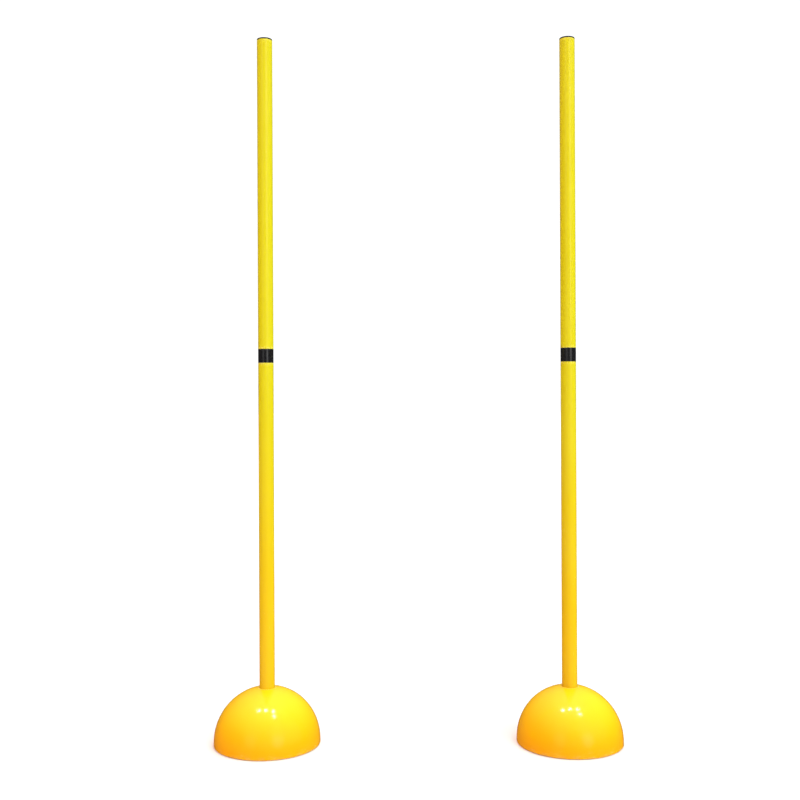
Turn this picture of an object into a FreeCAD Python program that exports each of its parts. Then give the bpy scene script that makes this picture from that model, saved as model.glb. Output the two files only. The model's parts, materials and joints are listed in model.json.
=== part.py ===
"""A pair of free-standing weave poles for dog agility training.

Each pole is two plastic tubes joined end to end by a connector whose collar shows as a band between them.
The pole stands in a socket in a hollow dome-shaped base, which is weighted with sand through a screw plug
in its underside and stands on rubber pads. The two poles are the same, and stand side by side along X.

Millimetres. Z is up, the floor is z = 0, and the origin is on the floor midway between the two poles.
"""
import FreeCAD, Part

import math
import os

V = FreeCAD.Vector

# --- Driving dimensions -------------------------------------------------------------------------------
POLE_SPACING = 632.0  # centre to centre, as the two poles stand side by side
POLE_RADIUS = 16.0
TUBE_WALL = 1.5
LOWER_TUBE_LENGTH = 740.0  # its lower end stands in the socket
UPPER_TUBE_LENGTH = 644.0
COLLAR_LENGTH = 29.0  # the visible band of the connector, flush with the tubes

DOME_RADIUS = 110.5
DOME_WALL = 3.0
SKIRT_HEIGHT = 6.5  # short upright wall under the hemisphere
SOCKET_FLOOR_Z = 51.0  # what the pole's lower end stands on

RIM_Z = 1.0  # the pads hold the dome's rim this far above the floor
PLATE_UNDERSIDE_Z = 2.0
PLATE_THICKNESS = 3.0
SAND_TOP_Z = 34.0

# --- Fits ---------------------------------------------------------------------------------------------
RUNNING_GAP = 0.1  # radial, where one piece slides or turns in another
CLOSE_GAP = 0.05  # where two pieces are bonded, screwed or pushed together for good
POLE_HOLE_GAP = 0.3  # radial, where the pole passes through the dome
LOOSE_GAP = 0.4  # round a head, a shank or an edge that only has to clear
SAND_GAP = 0.1

# --- Dome, socket and base plate ----------------------------------------------------------------------
RIM_EDGE_RADIUS = 1.2
HOLE_EDGE_RADIUS = 0.6
LEDGE_WIDTH = 3.0  # inside the dome's rim, for the base plate to seat on
LEDGE_HEIGHT = 3.0

SOCKET_WALL = 3.0
SOCKET_FLOOR = 3.0
SOCKET_FLANGE_RADIUS = 28.0  # bonded to the inside of the dome
SOCKET_FLANGE = 2.5

BOSS_WALL = 2.5  # the plate's ring that centres the socket's lower end
BOSS_HEIGHT = 10.0
PLATE_RIBS = 6
PLATE_RIB_WIDTH = 2.4
PLATE_RIB_HEIGHT = 8.0
PLATE_RIB_INNER_RADIUS = 22.0
PLATE_RIB_OUTER_RADIUS = 94.0

SCREW_COUNT = 6
SCREW_CIRCLE_RADIUS = 100.5
SCREW_RADIUS = 1.9
SCREW_LENGTH = 15.0
SCREW_HEAD_RADIUS = 3.6
SCREW_HEAD = 2.0
SCREW_HEAD_RECESS = 1.4
SCREW_HEAD_EDGE_RADIUS = 0.5
SCREW_DRIVE = 4.0  # across the cross recess in the head
SCREW_DRIVE_WIDTH = 0.9
SCREW_DRIVE_DEPTH = 1.1
SCREW_BOSS_RADIUS = 4.2
SCREW_BOSS_TOP_Z = 26.0

PAD_COUNT = 4
PAD_CIRCLE_RADIUS = 90.0
PAD_RADIUS = 9.0
PAD_RECESS = 0.8
PAD_EDGE_RADIUS = 0.5

# --- Fill plug ----------------------------------------------------------------------------------------
FILL_CIRCLE_RADIUS = 58.0
FILL_ANGLE = 90.0  # degrees about the pole's axis, between two ribs
FILL_HOLE_RADIUS = 13.2
FILL_HEAD_RADIUS = 16.5
FILL_HEAD = 2.5
FILL_HEAD_RECESS = 0.4  # of the head's face in the plate's underside
FILL_HEAD_EDGE_RADIUS = 0.5
FILL_SEAL = 1.5
FILL_SHANK_LENGTH = 13.0
FILL_SHANK_WALL = 2.2
FILL_CUP_WALL = 2.5  # of the cup and boss moulded in the plate round the plug
COIN_SLOT_LENGTH = 22.0
COIN_SLOT_WIDTH = 3.0
COIN_SLOT_DEPTH = 1.5

# --- Tube ends ----------------------------------------------------------------------------------------
TUBE_EDGE_RADIUS = 0.5

SPIGOT_LENGTH = 60.0
SPIGOT_RADIUS = 13.9
SPIGOT_WALL = 2.0
SPIGOT_CHAMFER = 1.0
SPIGOT_RIBS = 6
SPIGOT_RIB_WIDTH = 1.6
SPIGOT_RIB_SETBACK = 2.0  # of the ribs' ends from the spigot's ends
SPIGOT_WEB = 4.0  # closes the hollow in the middle of the collar

END_FLANGE = 3.0
END_FLANGE_EDGE_RADIUS = 1.2
END_SKIRT_LENGTH = 18.0
END_SKIRT_RADIUS = 13.9
END_SKIRT_WALL = 1.6
END_FINS = 3
END_FIN_HEIGHT = 1.2

# --- Worked out from the dimensions above -------------------------------------------------------------
TUBE_BORE_RADIUS = POLE_RADIUS - TUBE_WALL
LOWER_TUBE_Z = SOCKET_FLOOR_Z + END_FLANGE
COLLAR_Z = LOWER_TUBE_Z + LOWER_TUBE_LENGTH
UPPER_TUBE_Z = COLLAR_Z + COLLAR_LENGTH
UPPER_TUBE_TOP_Z = UPPER_TUBE_Z + UPPER_TUBE_LENGTH

DOME_CENTRE_Z = RIM_Z + SKIRT_HEIGHT
DOME_INNER_RADIUS = DOME_RADIUS - DOME_WALL
DOME_HOLE_RADIUS = POLE_RADIUS + POLE_HOLE_GAP
PLATE_TOP_Z = PLATE_UNDERSIDE_Z + PLATE_THICKNESS
LEDGE_TOP_Z = PLATE_TOP_Z + LEDGE_HEIGHT
LEDGE_RADIUS = DOME_INNER_RADIUS - LEDGE_WIDTH
SOCKET_BORE_RADIUS = POLE_RADIUS + RUNNING_GAP
SOCKET_RADIUS = SOCKET_BORE_RADIUS + SOCKET_WALL

SCREW_SEAT_Z = PLATE_UNDERSIDE_Z + SCREW_HEAD_RECESS
SCREW_HEAD_Z = SCREW_SEAT_Z - SCREW_HEAD
SCREW_TIP_Z = SCREW_SEAT_Z + SCREW_LENGTH

FILL_HEAD_Z = PLATE_UNDERSIDE_Z + FILL_HEAD_RECESS
FILL_SEAL_Z = FILL_HEAD_Z + FILL_HEAD
FILL_FACE_Z = FILL_SEAL_Z + FILL_SEAL  # what the seal is pressed against
FILL_CUP_RADIUS = FILL_HEAD_RADIUS + LOOSE_GAP
FILL_SHANK_RADIUS = FILL_HOLE_RADIUS - RUNNING_GAP
FILL_SHANK_TOP_Z = FILL_SEAL_Z + FILL_SHANK_LENGTH
FILL_BOSS_TOP_Z = FILL_SHANK_TOP_Z + 1.0

ORIGIN = V(0, 0, 0)
UP = V(0, 0, 1)
THROUGH = 1.0  # how far a cutting tool runs past the face that it cuts


# --- Helpers ------------------------------------------------------------------------------------------
def cylinder(radius, z0, z1, x=0.0, y=0.0):
    return Part.makeCylinder(radius, z1 - z0, V(x, y, z0), UP)


def ring(outer, inner, z0, z1, x=0.0, y=0.0):
    return cylinder(outer, z0, z1, x, y).cut(cylinder(inner, z0 - THROUGH, z1 + THROUGH, x, y))


def spokes(count, width, r0, r1, z0, z1):
    """Upright radial bars about the Z axis, the first along +X."""
    bars = []
    for i in range(count):
        bar = Part.makeBox(r1 - r0, width, z1 - z0, V(r0, -width / 2, z0))
        bar.rotate(ORIGIN, UP, i * 360 / count)
        bars.append(bar)
    return bars


def on_circle(radius, degrees):
    angle = math.radians(degrees)
    return radius * math.cos(angle), radius * math.sin(angle)


def between_spokes(count, radius):
    """Centres evenly spaced on a circle, the first half a step round from +X."""
    return [on_circle(radius, (i + 0.5) * 360 / count) for i in range(count)]


def on_sphere(radius, r):
    """Point of the XZ plane on the dome's sphere of that radius, at distance r from the pole's axis."""
    return V(r, 0, DOME_CENTRE_Z + math.sqrt(radius**2 - r**2))


def sphere_arc(radius, r0, r1):
    start, middle, end = [on_sphere(radius, r) for r in (r0, (r0 + r1) / 2, r1)]
    return Part.Arc(start, middle, end).toShape()


def lines(points):
    return [Part.makeLine(a, b) for a, b in zip(points, points[1:])]


def revolve(edges):
    """Solid of revolution about Z from the edges of a closed profile in the XZ plane."""
    return Part.Face(Part.Wire(edges)).revolve(ORIGIN, UP, 360)


def circles(shape):
    return [e for e in shape.Edges if isinstance(e.Curve, Part.Circle)]


def near(a, b):
    return abs(a - b) < 1e-6


def round_edge(shape, edge_radius, circle_radius, z):
    """Rounds the circular edge of that radius at that height."""
    edges = [e for e in circles(shape) if near(e.Curve.Radius, circle_radius) and near(e.Curve.Center.z, z)]
    return shape.makeFillet(edge_radius, edges)


# --- The base -----------------------------------------------------------------------------------------
def screw_centres():
    return between_spokes(SCREW_COUNT, SCREW_CIRCLE_RADIUS)


def screw_bosses(extra=0.0):
    """Posts inside the dome's wall that take the screws, larger all round by extra."""
    radius, top = SCREW_BOSS_RADIUS + extra, SCREW_BOSS_TOP_Z + extra
    return [cylinder(radius, PLATE_TOP_Z, top, x, y) for x, y in screw_centres()]


def dome_shell():
    """Hollow hemisphere on a short skirt, open below, with a hole for the pole and a ledge for the plate."""
    ledge_wall = math.sqrt(DOME_INNER_RADIUS**2 - (LEDGE_TOP_Z - DOME_CENTRE_Z) ** 2)
    rim = [
        V(ledge_wall, 0, LEDGE_TOP_Z),
        V(LEDGE_RADIUS, 0, LEDGE_TOP_Z),
        V(LEDGE_RADIUS, 0, PLATE_TOP_Z),
        V(DOME_INNER_RADIUS, 0, PLATE_TOP_Z),
        V(DOME_INNER_RADIUS, 0, RIM_Z),
        V(DOME_RADIUS, 0, RIM_Z),
        V(DOME_RADIUS, 0, DOME_CENTRE_Z),
    ]
    hole_top = on_sphere(DOME_RADIUS, DOME_HOLE_RADIUS)
    hole_wall = lines([hole_top, on_sphere(DOME_INNER_RADIUS, DOME_HOLE_RADIUS)])
    outside = sphere_arc(DOME_RADIUS, DOME_RADIUS, DOME_HOLE_RADIUS)
    inside = sphere_arc(DOME_INNER_RADIUS, DOME_HOLE_RADIUS, ledge_wall)
    shell = revolve([outside] + hole_wall + [inside] + lines(rim))
    shell = round_edge(shell, RIM_EDGE_RADIUS, DOME_RADIUS, RIM_Z)
    shell = round_edge(shell, HOLE_EDGE_RADIUS, DOME_HOLE_RADIUS, hole_top.z)
    shell = shell.fuse(screw_bosses())
    pilot_radius, pilot_top = SCREW_RADIUS + CLOSE_GAP, SCREW_TIP_Z + THROUGH
    pilots = [cylinder(pilot_radius, PLATE_TOP_Z - THROUGH, pilot_top, x, y) for x, y in screw_centres()]
    return shell.cut(pilots).removeSplitter()


def pole_socket():
    """Column from the base plate to the dome's ceiling: the pole slides into its upper half."""
    ceiling = DOME_INNER_RADIUS - CLOSE_GAP
    underside = ceiling - SOCKET_FLANGE
    top = sphere_arc(ceiling, SOCKET_BORE_RADIUS, SOCKET_FLANGE_RADIUS)
    edge = lines([on_sphere(ceiling, SOCKET_FLANGE_RADIUS), on_sphere(underside, SOCKET_FLANGE_RADIUS)])
    under = sphere_arc(underside, SOCKET_FLANGE_RADIUS, SOCKET_RADIUS)
    column = [
        on_sphere(underside, SOCKET_RADIUS),
        V(SOCKET_RADIUS, 0, PLATE_TOP_Z),
        V(SOCKET_BORE_RADIUS, 0, PLATE_TOP_Z),
        on_sphere(ceiling, SOCKET_BORE_RADIUS),
    ]
    socket = revolve([top] + edge + [under] + lines(column))
    floor = cylinder(SOCKET_BORE_RADIUS + SOCKET_WALL / 2, SOCKET_FLOOR_Z - SOCKET_FLOOR, SOCKET_FLOOR_Z)
    return socket.fuse(floor).removeSplitter()


def pad_centres():
    return between_spokes(PAD_COUNT, PAD_CIRCLE_RADIUS)


def plate_ribs(extra=0.0):
    """Stiffening ribs on top of the base plate, larger all round by extra."""
    width = PLATE_RIB_WIDTH + 2 * extra
    r0, r1 = PLATE_RIB_INNER_RADIUS - extra, PLATE_RIB_OUTER_RADIUS + extra
    return spokes(PLATE_RIBS, width, r0, r1, PLATE_UNDERSIDE_Z, PLATE_TOP_Z + PLATE_RIB_HEIGHT + extra)


def fill_cup(extra=0.0):
    """Outside of the cup and boss moulded in the plate round the fill hole, larger all round by extra."""
    x, y = on_circle(FILL_CIRCLE_RADIUS, FILL_ANGLE)
    cup_top = FILL_FACE_Z + FILL_CUP_WALL + extra
    cup = cylinder(FILL_CUP_RADIUS + FILL_CUP_WALL + extra, PLATE_UNDERSIDE_Z, cup_top, x, y)
    boss = cylinder(FILL_HOLE_RADIUS + FILL_CUP_WALL + extra, PLATE_UNDERSIDE_Z, FILL_BOSS_TOP_Z + extra, x, y)
    return cup.fuse(boss)


def base_plate():
    """Closes the dome from below: a ribbed disc with a centring ring, pad recesses and the fill hole."""
    disc = cylinder(DOME_INNER_RADIUS - LOOSE_GAP, PLATE_UNDERSIDE_Z, PLATE_TOP_Z - CLOSE_GAP)
    boss_radius = SOCKET_BORE_RADIUS - CLOSE_GAP
    boss = ring(boss_radius, boss_radius - BOSS_WALL, PLATE_UNDERSIDE_Z, PLATE_TOP_Z + BOSS_HEIGHT)
    plate = disc.fuse([boss, fill_cup()] + plate_ribs())

    below = PLATE_UNDERSIDE_Z - THROUGH
    x, y = on_circle(FILL_CIRCLE_RADIUS, FILL_ANGLE)
    cuts = [cylinder(FILL_CUP_RADIUS, below, FILL_FACE_Z, x, y)]
    cuts.append(cylinder(FILL_HOLE_RADIUS, below, FILL_BOSS_TOP_Z + THROUGH, x, y))
    for x, y in pad_centres():
        cuts.append(cylinder(PAD_RADIUS + CLOSE_GAP, below, PLATE_UNDERSIDE_Z + PAD_RECESS, x, y))
    for x, y in screw_centres():
        cuts.append(cylinder(SCREW_HEAD_RADIUS + LOOSE_GAP, below, SCREW_SEAT_Z, x, y))
        cuts.append(cylinder(SCREW_RADIUS + LOOSE_GAP, below, PLATE_TOP_Z, x, y))
    return plate.cut(cuts).removeSplitter()


def base_screws():
    """Self-tapping screws, threads left plain, that hold the plate against the dome's ledge."""
    screws = []
    for x, y in screw_centres():
        head = cylinder(SCREW_HEAD_RADIUS, SCREW_HEAD_Z, SCREW_SEAT_Z, x, y)
        head = round_edge(head, SCREW_HEAD_EDGE_RADIUS, SCREW_HEAD_RADIUS, SCREW_HEAD_Z)
        screw = head.fuse(cylinder(SCREW_RADIUS, SCREW_SEAT_Z, SCREW_TIP_Z, x, y))
        for length, width in ((SCREW_DRIVE, SCREW_DRIVE_WIDTH), (SCREW_DRIVE_WIDTH, SCREW_DRIVE)):
            corner = V(x - length / 2, y - width / 2, SCREW_HEAD_Z)
            screw = screw.cut(Part.makeBox(length, width, SCREW_DRIVE_DEPTH, corner))
        screws.append(screw.removeSplitter())
    return Part.makeCompound(screws)


def sand_fill():
    """The sand in the bottom of the dome, round the socket, the ribs, the screw bosses and the fill boss."""
    inside = DOME_INNER_RADIUS - SAND_GAP
    bottom = cylinder(LEDGE_RADIUS - SAND_GAP, PLATE_TOP_Z, LEDGE_TOP_Z + 2 * SAND_GAP)
    slab = cylinder(inside, LEDGE_TOP_Z + SAND_GAP, SAND_TOP_Z)
    sand = bottom.fuse(slab.common(Part.makeSphere(inside, V(0, 0, DOME_CENTRE_Z))))
    socket = cylinder(SOCKET_RADIUS + SAND_GAP, 0, SAND_TOP_Z + THROUGH)
    around = plate_ribs(SAND_GAP) + screw_bosses(SAND_GAP)
    return sand.cut([socket, fill_cup(SAND_GAP)] + around).removeSplitter()


def foot_pads():
    """Round rubber pads stuck in the base plate's recesses: what the base stands on."""
    top = PLATE_UNDERSIDE_Z + PAD_RECESS - CLOSE_GAP
    pads = [cylinder(PAD_RADIUS, 0, top, x, y) for x, y in pad_centres()]
    return Part.makeCompound([round_edge(pad, PAD_EDGE_RADIUS, PAD_RADIUS, 0) for pad in pads])


def fill_plug():
    """Screw plug of the fill hole: a flat head with a coin slot on a hollow shank, its thread left plain."""
    x, y = on_circle(FILL_CIRCLE_RADIUS, FILL_ANGLE)
    head = cylinder(FILL_HEAD_RADIUS, FILL_HEAD_Z, FILL_SEAL_Z, x, y)
    head = round_edge(head, FILL_HEAD_EDGE_RADIUS, FILL_HEAD_RADIUS, FILL_HEAD_Z)
    shank = ring(FILL_SHANK_RADIUS, FILL_SHANK_RADIUS - FILL_SHANK_WALL, FILL_SEAL_Z, FILL_SHANK_TOP_Z, x, y)
    corner = V(x - COIN_SLOT_LENGTH / 2, y - COIN_SLOT_WIDTH / 2, FILL_HEAD_Z)
    slot = Part.makeBox(COIN_SLOT_LENGTH, COIN_SLOT_WIDTH, COIN_SLOT_DEPTH, corner)
    return head.fuse(shank).cut(slot).removeSplitter()


def fill_plug_seal():
    """Flat rubber washer between the plug's head and the base plate."""
    x, y = on_circle(FILL_CIRCLE_RADIUS, FILL_ANGLE)
    inner = FILL_SHANK_RADIUS + LOOSE_GAP
    return ring(FILL_HEAD_RADIUS - LOOSE_GAP, inner, FILL_SEAL_Z, FILL_FACE_Z - CLOSE_GAP, x, y)


# --- The pole -----------------------------------------------------------------------------------------
def tube(z0, length):
    """One straight length of tube with slightly rounded outer ends."""
    pipe = ring(POLE_RADIUS, TUBE_BORE_RADIUS, z0, z0 + length)
    for z in (z0, z0 + length):
        pipe = round_edge(pipe, TUBE_EDGE_RADIUS, POLE_RADIUS, z)
    return pipe


def spigot_ribs(z0, z1, reach):
    """Lengthwise ribs round a spigot that grip the tube's bore, out to radius reach."""
    root = SPIGOT_RADIUS - SPIGOT_WALL / 2
    bars = spokes(SPIGOT_RIBS, SPIGOT_RIB_WIDTH, root, reach + THROUGH, z0, z1)
    return [bar.common(cylinder(reach, z0, z1)) for bar in bars]


def tube_connector():
    """Collar between the tubes, with a ribbed hollow spigot fixed in the lower one and loose in the upper."""
    bottom, top = COLLAR_Z - SPIGOT_LENGTH, UPPER_TUBE_Z + SPIGOT_LENGTH
    middle = (COLLAR_Z + UPPER_TUBE_Z) / 2
    collar = cylinder(POLE_RADIUS, COLLAR_Z, UPPER_TUBE_Z)
    for z in (COLLAR_Z, UPPER_TUBE_Z):
        collar = round_edge(collar, TUBE_EDGE_RADIUS, POLE_RADIUS, z)
    spigot = cylinder(SPIGOT_RADIUS, bottom, top)
    spigot = spigot.makeChamfer(SPIGOT_CHAMFER, circles(spigot))
    fixed_ribs = spigot_ribs(bottom + SPIGOT_RIB_SETBACK, middle, TUBE_BORE_RADIUS - CLOSE_GAP)
    loose_ribs = spigot_ribs(middle, top - SPIGOT_RIB_SETBACK, TUBE_BORE_RADIUS - RUNNING_GAP)
    hollow_radius = SPIGOT_RADIUS - SPIGOT_WALL
    lower_hollow = cylinder(hollow_radius, bottom - THROUGH, middle - SPIGOT_WEB / 2)
    upper_hollow = cylinder(hollow_radius, middle + SPIGOT_WEB / 2, top + THROUGH)
    solid = collar.fuse([spigot] + fixed_ribs + loose_ribs)
    return solid.cut([lower_hollow, upper_hollow]).removeSplitter()


def end_plug():
    """Plug of a tube's upper end at z = 0: a flange as wide as the tube, over a skirt with soft fins."""
    flange = cylinder(POLE_RADIUS, 0, END_FLANGE)
    flange = round_edge(flange, END_FLANGE_EDGE_RADIUS, POLE_RADIUS, END_FLANGE)
    skirt_bore = END_SKIRT_RADIUS - END_SKIRT_WALL
    skirt = ring(END_SKIRT_RADIUS, skirt_bore, -END_SKIRT_LENGTH, 0)
    fins = []
    for i in range(END_FINS):
        z = -(i + 1) * END_SKIRT_LENGTH / (END_FINS + 1)
        fins.append(ring(TUBE_BORE_RADIUS - CLOSE_GAP, skirt_bore, z, z + END_FIN_HEIGHT))
    return flange.fuse([skirt] + fins).removeSplitter()


def lower_tube_plug():
    plug = end_plug()
    plug.rotate(ORIGIN, V(1, 0, 0), 180)
    plug.translate(V(0, 0, LOWER_TUBE_Z))
    return plug


def upper_tube_cap():
    return end_plug().translated(V(0, 0, UPPER_TUBE_TOP_Z))


# --- The whole object ---------------------------------------------------------------------------------
def one_pole():
    """Every piece of one weave pole, standing on the floor with its axis on Z."""
    return {
        "dome_shell": dome_shell(),
        "pole_socket": pole_socket(),
        "base_plate": base_plate(),
        "base_screws": base_screws(),
        "sand_fill": sand_fill(),
        "foot_pads": foot_pads(),
        "fill_plug": fill_plug(),
        "fill_plug_seal": fill_plug_seal(),
        "lower_tube": tube(LOWER_TUBE_Z, LOWER_TUBE_LENGTH),
        "lower_tube_plug": lower_tube_plug(),
        "tube_connector": tube_connector(),
        "upper_tube": tube(UPPER_TUBE_Z, UPPER_TUBE_LENGTH),
        "upper_tube_cap": upper_tube_cap(),
    }


def main():
    os.makedirs("parts", exist_ok=True)
    pieces = one_pole()
    for side, x in (("left", -POLE_SPACING / 2), ("right", POLE_SPACING / 2)):
        for name, shape in pieces.items():
            shape.translated(V(x, 0, 0)).exportStep(f"parts/{side}_{name}.step")


main()
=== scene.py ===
import json
import math

import bpy
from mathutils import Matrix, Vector

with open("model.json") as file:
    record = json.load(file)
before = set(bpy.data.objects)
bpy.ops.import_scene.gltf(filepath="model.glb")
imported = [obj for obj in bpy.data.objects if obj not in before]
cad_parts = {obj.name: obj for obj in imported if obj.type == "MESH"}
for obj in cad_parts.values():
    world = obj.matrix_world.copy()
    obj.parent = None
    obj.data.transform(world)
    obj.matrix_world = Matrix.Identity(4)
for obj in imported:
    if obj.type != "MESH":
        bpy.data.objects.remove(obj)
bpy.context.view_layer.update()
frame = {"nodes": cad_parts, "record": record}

NODES = frame["nodes"]


def span(node, axis):
    """Lowest and highest coordinate of a CAD node along X, Y or Z."""
    piece = NODES[node]
    corners = [piece.matrix_world @ Vector(corner) for corner in piece.bound_box]
    values = [corner["XYZ".index(axis)] for corner in corners]
    return min(values), max(values)


# All lengths are in metres.

# --- The camera ---------------------------------------------------------------------------------------
CAMERA_DISTANCE = 2.141  # from the poles' plane
CAMERA_HEIGHT = 0.7155
CAMERA_LEFT = 0.036  # of the middle between the poles
CAMERA_ROLL_DEG = 0.24
CAMERA_LENS_MM = 46.1

# --- Places on the object that the materials follow -----------------------------------------------------
POLE_X = sum(span("right_upper_tube", "X")) / 2  # each pole stands this far from the middle
POLE_RADIUS = POLE_X - span("right_upper_tube", "X")[0]
TUBE_ENDS = span("right_lower_tube", "Z") + span("right_upper_tube", "Z")
COLLAR_ENDS = span("right_lower_tube", "Z")[1], span("right_upper_tube", "Z")[0]
CAP_TOP = span("right_upper_tube_cap", "Z")[1]
DOME_RIM, DOME_TOP = span("right_dome_shell", "Z")
DOME_RADIUS = span("right_dome_shell", "Y")[1]
PLUG_Y = sum(span("right_fill_plug", "Y")) / 2
PLUG_HEAD_RADIUS = PLUG_Y - span("right_fill_plug", "Y")[0]
COIN_SLOT_HALF_WIDTH = 0.0015

# --- Where colour, wear and dust change. A pair is where the change starts and where it ends -------------
# The heights where the tube's painted warm bounce light, amber below, fades to its lemon colour above
PAINTED_WARMTH_TO_LEMON_Z = 0.05, 0.85
TUBE_END_WEAR = 0.007
HOLE_WEAR_RADII = POLE_RADIUS + 0.001, POLE_RADIUS + 0.007
DOME_SCRAPED_BELOW_Z = 0.022
DOME_RIM_WEAR = 0.002
DOME_DUSTY_BELOW_Z = 0.010
COLLAR_EDGE_WEAR = 0.0016
SPIGOT_TO_COLLAR_RADII = POLE_RADIUS - 0.0014, POLE_RADIUS - 0.0010
CAP_WEAR_RADII = POLE_RADIUS - 0.0022, POLE_RADIUS - 0.0004
CAP_TOP_WEAR = 0.0025
PLATE_LOWEST_Z = 0.0019, 0.0024
PLATE_WEAR_RADII = 0.8 * DOME_RADIUS, DOME_RADIUS
PLUG_FACE_Z = 0.0035, 0.0045
PLUG_RIM_WEAR = 0.0012
COIN_SLOT_LIP_WEAR = 0.0009
SOCKET_BORE_RADII = POLE_RADIUS + 0.0006, POLE_RADIUS + 0.0012
PAD_FACE_Z = 0.0, 0.0008

# The sockets of a Mix node that mixes colours
MIX_FACTOR, MIX_A, MIX_B, MIX_RESULT = 0, 6, 7, 2


class Tree:
    """Adds nodes to a node tree, and links or sets their sockets."""

    def __init__(self, tree):
        self.tree = tree
        self.tree.nodes.clear()

    def add(self, kind, **settings):
        node = self.tree.nodes.new(kind)
        for key, value in settings.items():
            setattr(node, key, value)
        return node

    def link(self, source, socket):
        self.tree.links.new(source, socket)

    def feed(self, socket, value):
        """Links a node's output to a socket, or sets the socket to a plain value."""
        if isinstance(value, bpy.types.NodeSocket):
            self.link(value, socket)
        else:
            socket.default_value = value

    def feed_colour(self, socket, colour):
        """Feeds a colour socket with a node's output, or with a tuple of red, green and blue."""
        self.feed(socket, (*colour, 1) if isinstance(colour, tuple) else colour)

    def split(self, vector):
        """The X, Y and Z outputs of a vector."""
        node = self.add("ShaderNodeSeparateXYZ")
        self.link(vector, node.inputs[0])
        return node.outputs

    def math(self, operation, a, b=0.0):
        node = self.add("ShaderNodeMath", operation=operation)
        self.feed(node.inputs[0], a)
        self.feed(node.inputs[1], b)
        return node.outputs[0]

    def range(self, value, from_low, from_high, to_low=0.0, to_high=1.0, kind="SMOOTHSTEP"):
        """Maps a range to another, and holds it at the ends."""
        node = self.add("ShaderNodeMapRange", interpolation_type=kind)
        for socket, v in zip(node.inputs, (value, from_low, from_high, to_low, to_high)):
            self.feed(socket, v)
        return node.outputs[0]

    def mix(self, factor, a, b):
        """Colour a where factor is 0, and colour b where it is 1."""
        node = self.add("ShaderNodeMix", data_type="RGBA")
        self.feed(node.inputs[MIX_FACTOR], factor)
        self.feed_colour(node.inputs[MIX_A], a)
        self.feed_colour(node.inputs[MIX_B], b)
        return node.outputs[MIX_RESULT]


class Graph(Tree):
    """The nodes of one material. The textures lie in each piece's own coordinates, so they move with it."""

    def __init__(self, name):
        self.material = bpy.data.materials.new(name)
        self.material.use_nodes = True
        super().__init__(self.material.node_tree)
        self.shader = self.add("ShaderNodeBsdfPrincipled")
        output = self.add("ShaderNodeOutputMaterial")
        self.link(self.shader.outputs["BSDF"], output.inputs["Surface"])
        self.position = self.add("ShaderNodeTexCoord").outputs["Object"]
        self.x, self.y, self.z = self.split(self.position)
        self.across = self.math("SUBTRACT", self.math("ABSOLUTE", self.x), POLE_X)

    def set(self, **inputs):
        """Feeds the shader's sockets, named with _ for a space."""
        for name, value in inputs.items():
            self.feed(self.shader.inputs[name.replace("_", " ")], value)

    def times(self, *factors):
        product = factors[0]
        for factor in factors[1:]:
            product = self.math("MULTIPLY", product, factor)
        return product

    def radius(self, y=0.0):
        """Distance from the nearer pole's axis, or from a line parallel to it and y behind it."""
        flat = self.add("ShaderNodeCombineXYZ")
        self.feed(flat.inputs[0], self.across)
        self.feed(flat.inputs[1], self.math("SUBTRACT", self.y, y))
        length = self.add("ShaderNodeVectorMath", operation="LENGTH")
        self.link(flat.outputs[0], length.inputs[0])
        return length.outputs["Value"]

    def near(self, value, places, width):
        """1 where value is at one of the places, falling to 0 at width from it."""
        mask = 0.0
        for place in places:
            off = self.math("ABSOLUTE", self.math("SUBTRACT", value, place))
            mask = self.math("MAXIMUM", mask, self.range(off, 0, width, 1, 0))
        return mask

    def stretched(self, stretch):
        """The position with X, Y and Z each multiplied by its stretch."""
        mapping = self.add("ShaderNodeMapping")
        self.link(self.position, mapping.inputs["Vector"])
        mapping.inputs["Scale"].default_value = stretch
        return mapping.outputs[0]

    def noise(self, scale, detail=2.0, stretch=(1, 1, 1), warp=0.0):
        """Noise about 0.5, with about scale times stretch blotches to the metre along each axis."""
        node = self.add("ShaderNodeTexNoise")
        self.link(self.stretched(stretch), node.inputs["Vector"])
        node.inputs["Scale"].default_value = scale
        node.inputs["Detail"].default_value = detail
        node.inputs["Distortion"].default_value = warp
        return node.outputs["Fac"]

    def cells(self, scale):
        """Distance from the middle of each cell, and a random colour for each."""
        node = self.add("ShaderNodeTexVoronoi")
        self.link(self.position, node.inputs["Vector"])
        node.inputs["Scale"].default_value = scale
        return node.outputs["Distance"], node.outputs["Color"]

    def scratches(self, stretch, amount):
        """Patches of thin scuffs along the axis with the smallest stretch, from few (0) to many (1)."""
        lines = self.noise(1.0, 3.0, stretch, 0.4)
        patches = self.noise(28.0, 3.0)
        cut = 0.5 + 0.22 * (1 - amount)
        return self.times(self.range(lines, cut, cut + 0.08), self.range(patches, 0.42, 0.62))

    def bump(self, height, distance, under=None):
        """The normal of a relief, height times distance, on top of the normal under it if there is one."""
        node = self.add("ShaderNodeBump")
        node.inputs["Distance"].default_value = distance
        self.link(height, node.inputs["Height"])
        if under is not None:
            self.link(under, node.inputs["Normal"])
        return node.outputs[0]


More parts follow.
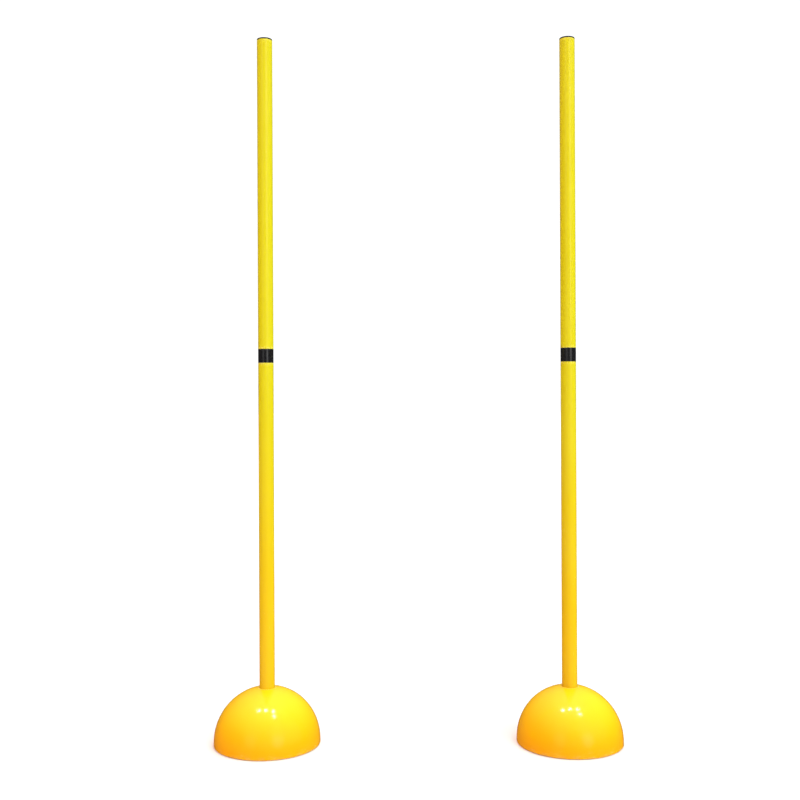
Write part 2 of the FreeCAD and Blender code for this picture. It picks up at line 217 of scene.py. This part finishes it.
# --- Materials ----------------------------------------------------------------------------------------
def tube_yellow():
    """Extruded lemon tube with painted warm bounce light, amber low down: lengthwise flow lines, rubbed
    bands, pale worn ends.
    """
    g = Graph("tube_yellow")
    flow = g.noise(1.0, 3.0, (700, 700, 5))
    clouds = g.noise(9.0, 3.0, (1, 1, 0.5))
    # Painted warm bounce light: the tube's colour turns from lemon to amber towards its bottom
    painted_light_low = g.range(g.z, *PAINTED_WARMTH_TO_LEMON_Z, 1.0, 0.0)
    colour = g.mix(painted_light_low, (0.58, 0.505, 0.003), (0.71, 0.42, 0.001))
    colour = g.mix(g.range(flow, 0.35, 0.7, 0.0, 0.10), colour, (0.54, 0.36, 0.002))
    colour = g.mix(g.range(clouds, 0.4, 0.7, 0.0, 0.10), colour, (0.68, 0.57, 0.01))
    ends = g.times(g.near(g.z, TUBE_ENDS, TUBE_END_WEAR), g.range(g.noise(320.0, 3.0), 0.4, 0.62))
    rubbed = g.scratches((900, 900, 60), 0.25)
    colour = g.mix(g.times(rubbed, 0.18), colour, (0.78, 0.66, 0.10))
    colour = g.mix(g.times(ends, 0.45), colour, (0.80, 0.69, 0.16))
    roughness = g.math("ADD", g.range(clouds, 0.35, 0.65, 0.14, 0.20), g.times(flow, 0.05))
    roughness = g.math("ADD", roughness, g.times(g.math("MAXIMUM", rubbed, ends), 0.22))
    g.set(Base_Color=colour, Roughness=roughness, Specular_IOR_Level=0.45)
    g.set(Normal=g.bump(rubbed, -0.00002, g.bump(flow, 0.00005)))
    return g.material


def dome_yellow():
    """Glossy moulded yellow shell with painted shade, darker orange low down: slight ripple, hairline
    scuffs, worn hole, dusty rim.
    """
    g = Graph("dome_yellow")
    clouds = g.noise(14.0, 3.0)
    ripple = g.noise(120.0, 2.0)
    fine = g.noise(900.0, 2.0)
    # Painted shade: the shell's colour turns darker and more orange towards its rim
    painted_light_low = g.range(g.z, DOME_RIM, DOME_TOP, 1.0, 0.0)
    colour = g.mix(painted_light_low, (0.94, 0.62, 0.006), (0.82, 0.35, 0.001))
    colour = g.mix(g.range(clouds, 0.42, 0.7, 0.0, 0.10), colour, (0.80, 0.42, 0.003))
    low = g.range(g.z, DOME_RIM, DOME_SCRAPED_BELOW_Z, 1, 0)
    scuffs = g.scratches((120, 120, 1500), 0.2)
    scraped = g.times(low, g.scratches((90, 90, 1100), 0.8))
    hole = g.times(g.range(g.radius(), *HOLE_WEAR_RADII, 1, 0), g.range(fine, 0.42, 0.6))
    rim = g.times(g.near(g.z, [DOME_RIM], DOME_RIM_WEAR), g.range(g.noise(260.0, 3.0), 0.4, 0.6))
    worn = g.math("MAXIMUM", g.math("MAXIMUM", hole, rim), g.times(scraped, 0.7))
    colour = g.mix(g.times(scuffs, 0.12), colour, (0.94, 0.74, 0.14))
    colour = g.mix(g.times(worn, 0.40), colour, (0.90, 0.70, 0.20))
    dusty = g.range(g.z, DOME_RIM, DOME_DUSTY_BELOW_Z, 0.35, 0.0)
    dust = g.times(dusty, g.range(g.noise(70.0, 4.0), 0.4, 0.65))
    colour = g.mix(dust, colour, (0.46, 0.30, 0.10))
    roughness = g.math("ADD", g.range(clouds, 0.3, 0.7, 0.10, 0.15), g.times(dust, 0.8))
    roughness = g.math("ADD", roughness, g.times(g.math("MAXIMUM", scuffs, worn), 0.25))
    g.set(Base_Color=colour, Roughness=roughness, Specular_IOR_Level=0.3)
    g.set(Normal=g.bump(worn, -0.00004, g.bump(fine, 0.000004, g.bump(ripple, 0.00003))))
    return g.material


def moulded_black(name, worn_edges, colour=(0.005, 0.005, 0.0055), roughness=0.38, specular=0.5):
    """Black plastic: fine mould texture, dull patches, and edges greyed where worn_edges' mask says so."""
    g = Graph(name)
    grain = g.noise(1600.0, 3.0)
    clouds = g.noise(30.0, 3.0)
    tone = g.range(clouds, 0.35, 0.7, 0.0, 0.35)
    shade = g.mix(tone, colour, tuple(2.2 * c for c in colour))
    scuffs = g.scratches((260, 260, 90), 0.35)
    worn = g.times(worn_edges(g), g.range(g.noise(420.0, 3.0), 0.38, 0.6))
    shade = g.mix(g.times(scuffs, 0.20), shade, (0.09, 0.09, 0.09))
    shade = g.mix(g.times(worn, 0.55), shade, (0.12, 0.118, 0.115))
    dull = g.range(clouds, 0.3, 0.7, roughness - 0.04, roughness + 0.08)
    dull = g.math("ADD", dull, g.times(g.math("MAXIMUM", scuffs, worn), 0.2))
    g.set(Base_Color=shade, Roughness=dull, Specular_IOR_Level=specular)
    g.set(Normal=g.bump(scuffs, -0.00003, g.bump(grain, 0.00004)))
    return g.material


def collar_edges(g):
    """The collar's two edges, and the rub marks where the tubes slide over the spigots."""
    edges = g.near(g.z, COLLAR_ENDS, COLLAR_EDGE_WEAR)
    spigot = g.range(g.radius(), *SPIGOT_TO_COLLAR_RADII, 1, 0)
    slides = g.times(spigot, g.range(g.noise(1.0, 2.0, (1300, 1300, 30)), 0.50, 0.62))
    return g.math("MAXIMUM", edges, g.times(slides, 0.35))


def cap_edges(g):
    """The outer edge of each cap's flange."""
    rim = g.range(g.radius(), *CAP_WEAR_RADII)
    return g.times(rim, g.near(g.z, [CAP_TOP], CAP_TOP_WEAR))


def plate_edges(g):
    """The lowest parts of the plate, and more of them towards its edge."""
    low = g.range(g.z, *PLATE_LOWEST_Z, 1, 0)
    return g.times(low, g.range(g.radius(), *PLATE_WEAR_RADII, 0.25, 1.0))


def plug_edges(g):
    """The rim of the plug's head, and the coin slot's lips."""
    face = g.range(g.z, *PLUG_FACE_Z, 1, 0)
    rim = g.near(g.radius(PLUG_Y), [PLUG_HEAD_RADIUS], PLUG_RIM_WEAR)
    off_slot = g.math("ABSOLUTE", g.math("SUBTRACT", g.y, PLUG_Y))
    lips = g.near(off_slot, [COIN_SLOT_HALF_WIDTH], COIN_SLOT_LIP_WEAR)
    return g.times(face, g.math("MAXIMUM", rim, lips))


def socket_white():
    """Milky unpigmented plastic: faint yellowing, grey lengthwise rub marks where the pole slides."""
    g = Graph("socket_white")
    clouds = g.noise(22.0, 3.0)
    colour = g.mix(g.range(clouds, 0.35, 0.7), (0.74, 0.73, 0.69), (0.66, 0.64, 0.55))
    bore = g.range(g.radius(), *SOCKET_BORE_RADII, 1, 0)
    marks = g.times(bore, g.range(g.noise(1.0, 3.0, (1000, 1000, 25)), 0.48, 0.62))
    colour = g.mix(g.times(marks, 0.5), colour, (0.34, 0.33, 0.28))
    roughness = g.math("ADD", g.range(clouds, 0.3, 0.7, 0.38, 0.5), g.times(marks, 0.15))
    g.set(Base_Color=colour, Roughness=roughness, Subsurface_Weight=0.15, Subsurface_Scale=0.002)
    g.set(Normal=g.bump(marks, -0.00003, g.bump(g.noise(700.0, 2.0), 0.00003)))
    return g.material


def rubber(name, colour):
    """Matt rubber with a pebbled skin, pale bloom and ground-in dust on the face that it stands on."""
    g = Graph(name)
    pebbles, _ = g.cells(2200.0)
    clouds = g.noise(60.0, 4.0)
    bloom = g.range(clouds, 0.42, 0.7, 0.0, 0.4)
    shade = g.mix(bloom, colour, (0.10, 0.098, 0.092))
    dust = g.times(g.range(g.z, *PAD_FACE_Z, 1, 0), g.range(g.noise(240.0, 4.0), 0.36, 0.70))
    shade = g.mix(g.times(dust, 0.55), shade, (0.20, 0.17, 0.12))
    g.set(Base_Color=shade, Roughness=g.range(clouds, 0.3, 0.7, 0.68, 0.9), Specular_IOR_Level=0.3)
    g.set(Normal=g.bump(pebbles, 0.00008))
    return g.material


def screw_steel():
    """Zinc plate: mottled brightness, a faint yellow cast in places, dull spots and fine lines."""
    g = Graph("screw_steel")
    mottle = g.noise(700.0, 3.0)
    spots = g.range(g.noise(1500.0, 2.0), 0.6, 0.7)
    colour = g.mix(g.range(mottle, 0.35, 0.65), (0.62, 0.62, 0.63), (0.56, 0.53, 0.44))
    colour = g.mix(g.times(spots, 0.6), colour, (0.20, 0.16, 0.12))
    roughness = g.math("ADD", g.range(mottle, 0.3, 0.7, 0.24, 0.4), g.times(spots, 0.3))
    g.set(Base_Color=colour, Roughness=roughness, Metallic=1.0)
    g.set(Normal=g.bump(g.noise(1.0, 2.0, (1500, 9000, 1500)), 0.00001))
    return g.material


def sand():
    """Dry washed sand: separate grains of tan, grey and white."""
    g = Graph("sand")
    middle, tint = g.cells(1100.0)
    split = g.add("ShaderNodeSeparateColor")
    g.link(tint, split.inputs[0])
    brown, white, dark = split.outputs
    colour = g.mix(brown, (0.62, 0.48, 0.30), (0.40, 0.29, 0.17))
    colour = g.mix(g.range(white, 0.82, 0.86), colour, (0.78, 0.74, 0.66))
    colour = g.mix(g.range(dark, 0.90, 0.93), colour, (0.14, 0.11, 0.09))
    colour = g.mix(g.range(g.noise(35.0, 3.0), 0.35, 0.7, 0.0, 0.3), colour, (0.36, 0.27, 0.17))
    heaps = g.bump(g.noise(60.0, 3.0), 0.0008)
    g.set(Base_Color=colour, Roughness=g.range(brown, 0, 1, 0.75, 0.95))
    g.set(Normal=g.bump(g.range(middle, 0.0, 0.7, 1.0, 0.0), 0.0005, heaps))
    return g.material


def floor_pale():
    """Matt and nearly white, with faint clouds and a fine texture."""
    g = Graph("floor_pale")
    clouds = g.noise(3.0, 3.0)
    colour = g.mix(g.range(clouds, 0.3, 0.7), (0.86, 0.86, 0.86), (0.88, 0.88, 0.88))
    g.set(Base_Color=colour, Roughness=0.9, Specular_IOR_Level=0.1)
    g.set(Normal=g.bump(g.noise(600.0, 2.0), 0.00003))
    return g.material


# One for each material slot in the record
MATERIALS = {
    "dome_yellow": dome_yellow(),
    "tube_yellow": tube_yellow(),
    "connector_black": moulded_black("connector_black", collar_edges, roughness=0.20, specular=0.85),
    "cap_black": moulded_black("cap_black", cap_edges),
    "plate_black": moulded_black("plate_black", plate_edges, colour=(0.018, 0.018, 0.019), roughness=0.46),
    "plug_black": moulded_black("plug_black", plug_edges, colour=(0.014, 0.014, 0.015), roughness=0.42),
    "socket_white": socket_white(),
    "pad_rubber": rubber("pad_rubber", (0.022, 0.022, 0.022)),
    "seal_rubber": rubber("seal_rubber", (0.030, 0.028, 0.027)),
    "screw_steel": screw_steel(),
    "sand": sand(),
}


def dress_nodes():
    for row in frame["record"]["subparts"]:
        for slot in NODES[row["node"]].material_slots:
            slot.material = MATERIALS[row["material_slot"]]


# --- The studio ---------------------------------------------------------------------------------------
FLOOR_HALF_SIZE = 60.0
WHITE = (1.0, 1.0, 1.0)

# The soft light that surfaces get from all round, by side
SKY_LEFT = (0.64, 0.30, 0.24)
SKY_RIGHT = (0.64, 0.72, 0.80)

# The brightness that the camera sees behind the object
BACKDROP = 1.1

# What glossy surfaces reflect: the room, the light that its ceiling adds straight overhead, and soft panels
ROOM = 0.06
CEILING = 1.4
PANELS = [  # direction, strength, half the width in degrees
    ((-0.5, -0.85, 0.20), 0.6, 18),
    ((0.5, -0.85, 0.20), 1.7, 18),
]

# Lamps that light surfaces and aren't reflected: name, direction, strength, width in degrees, colour
SOFT_LAMPS = [
    ("front_left", (-0.45, -0.75, 0.5), 0.42, 40, (1.0, 0.70, 0.70)),
    ("front_right", (0.45, -0.75, 0.5), 1.12, 40, (0.80, 1.0, 0.98)),
    ("right", (0.87, -0.35, 0.3), 1.08, 40, (0.80, 1.0, 1.0)),
    ("top", (0, 0, 1), 1.60, 60, WHITE),
    ("front_low", (0, -1, 0.05), 0.46, 30, (1.0, 0.90, 0.93)),
    ("back", (0, 0.95, 0.3), 1.0, 40, WHITE),
]

# Small lamps overhead that are only reflected, as white dots on the domes: each one's direction
SPOTS = [(-0.26, -0.18, 1.0), (-0.02, -0.18, 1.0), (0.23, -0.18, 1.0), (0.31, -0.40, 1.0)]
SPOT_STRENGTH = 0.45
SPOT_WIDTH_DEG = 6.5


def make_floor():
    mesh = bpy.data.meshes.new("floor")
    s = FLOOR_HALF_SIZE
    mesh.from_pydata([(-s, -s, 0), (s, -s, 0), (s, s, 0), (-s, s, 0)], [], [(0, 1, 2, 3)])
    floor = bpy.data.objects.new("floor", mesh)
    bpy.context.scene.collection.objects.link(floor)
    mesh.materials.append(floor_pale())
    floor.visible_glossy = False


class Studio(Tree):
    """The world's nodes: soft light for surfaces, a room with panels to reflect, and a white backdrop."""

    def __init__(self):
        world = bpy.data.worlds.new("studio")
        bpy.context.scene.world = world
        world.use_nodes = True
        super().__init__(world.node_tree)
        self.direction = self.add("ShaderNodeTexCoord").outputs["Generated"]
        path = self.add("ShaderNodeLightPath")
        light = self.either(path.outputs["Is Glossy Ray"], self.surround(), self.room())
        backdrop = self.background(WHITE, BACKDROP)
        output = self.add("ShaderNodeOutputWorld")
        everything = self.either(path.outputs["Is Camera Ray"], light, backdrop)
        self.link(everything, output.inputs["Surface"])

    def background(self, colour, strength):
        node = self.add("ShaderNodeBackground")
        self.feed_colour(node.inputs["Color"], colour)
        self.feed(node.inputs["Strength"], strength)
        return node.outputs[0]

    def either(self, chooser, a, b):
        """Shader a where chooser is 0, and shader b where it is 1."""
        node = self.add("ShaderNodeMixShader")
        for socket, source in zip(node.inputs, (chooser, a, b)):
            self.feed(socket, source)
        return node.outputs[0]

    def surround(self):
        """Light from all round, which changes evenly from the left to the right."""
        across = self.range(self.split(self.direction)["X"], -1.0, 1.0, kind="LINEAR")
        return self.background(self.mix(across, SKY_LEFT, SKY_RIGHT), 1.0)

    def room(self):
        """What glossy surfaces reflect: a dim room with a brighter ceiling, and the panels."""
        height = self.math("MAXIMUM", self.split(self.direction)["Z"], 0.0)
        ceiling = self.math("MULTIPLY", self.math("POWER", height, 2.0), CEILING)
        total = self.math("ADD", ceiling, ROOM)
        for towards, strength, half_width_deg in PANELS:
            dot = self.add("ShaderNodeVectorMath", operation="DOT_PRODUCT")
            self.feed(dot.inputs[0], self.direction)
            self.feed(dot.inputs[1], Vector(towards).normalized())
            edge = math.cos(math.radians(half_width_deg))
            panel = self.range(dot.outputs["Value"], edge, 1.0, 0.0, strength)
            total = self.math("ADD", total, panel)
        return self.background(WHITE, total)


def add_sun(name, towards, strength, width_deg, colour, reflected):
    """A lamp infinitely far away in the direction towards, which either lights or is only reflected."""
    data = bpy.data.lights.new(name, "SUN")
    data.energy = strength
    data.angle = math.radians(width_deg)
    data.color = colour
    lamp = bpy.data.objects.new(name, data)
    lamp.rotation_mode = "QUATERNION"
    lamp.rotation_quaternion = Vector(towards).to_track_quat("Z", "Y")
    lamp.visible_glossy = reflected
    lamp.visible_diffuse = not reflected
    bpy.context.scene.collection.objects.link(lamp)


def make_lights():
    for name, towards, strength, width_deg, colour in SOFT_LAMPS:
        add_sun(name, towards, strength, width_deg, colour, reflected=False)
    for i, towards in enumerate(SPOTS):
        add_sun(f"spot_{i}", towards, SPOT_STRENGTH, SPOT_WIDTH_DEG, WHITE, reflected=True)


def make_camera():
    data = bpy.data.cameras.new("camera")
    data.lens = CAMERA_LENS_MM
    camera = bpy.data.objects.new("camera", data)
    camera.location = (-CAMERA_LEFT, -CAMERA_DISTANCE, CAMERA_HEIGHT)
    camera.rotation_euler = (math.pi / 2, math.radians(CAMERA_ROLL_DEG), 0)
    bpy.context.scene.collection.objects.link(camera)
    bpy.context.scene.camera = camera


dress_nodes()
make_floor()
Studio()
make_lights()
make_camera()
bpy.context.scene.view_settings.view_transform = "Standard"
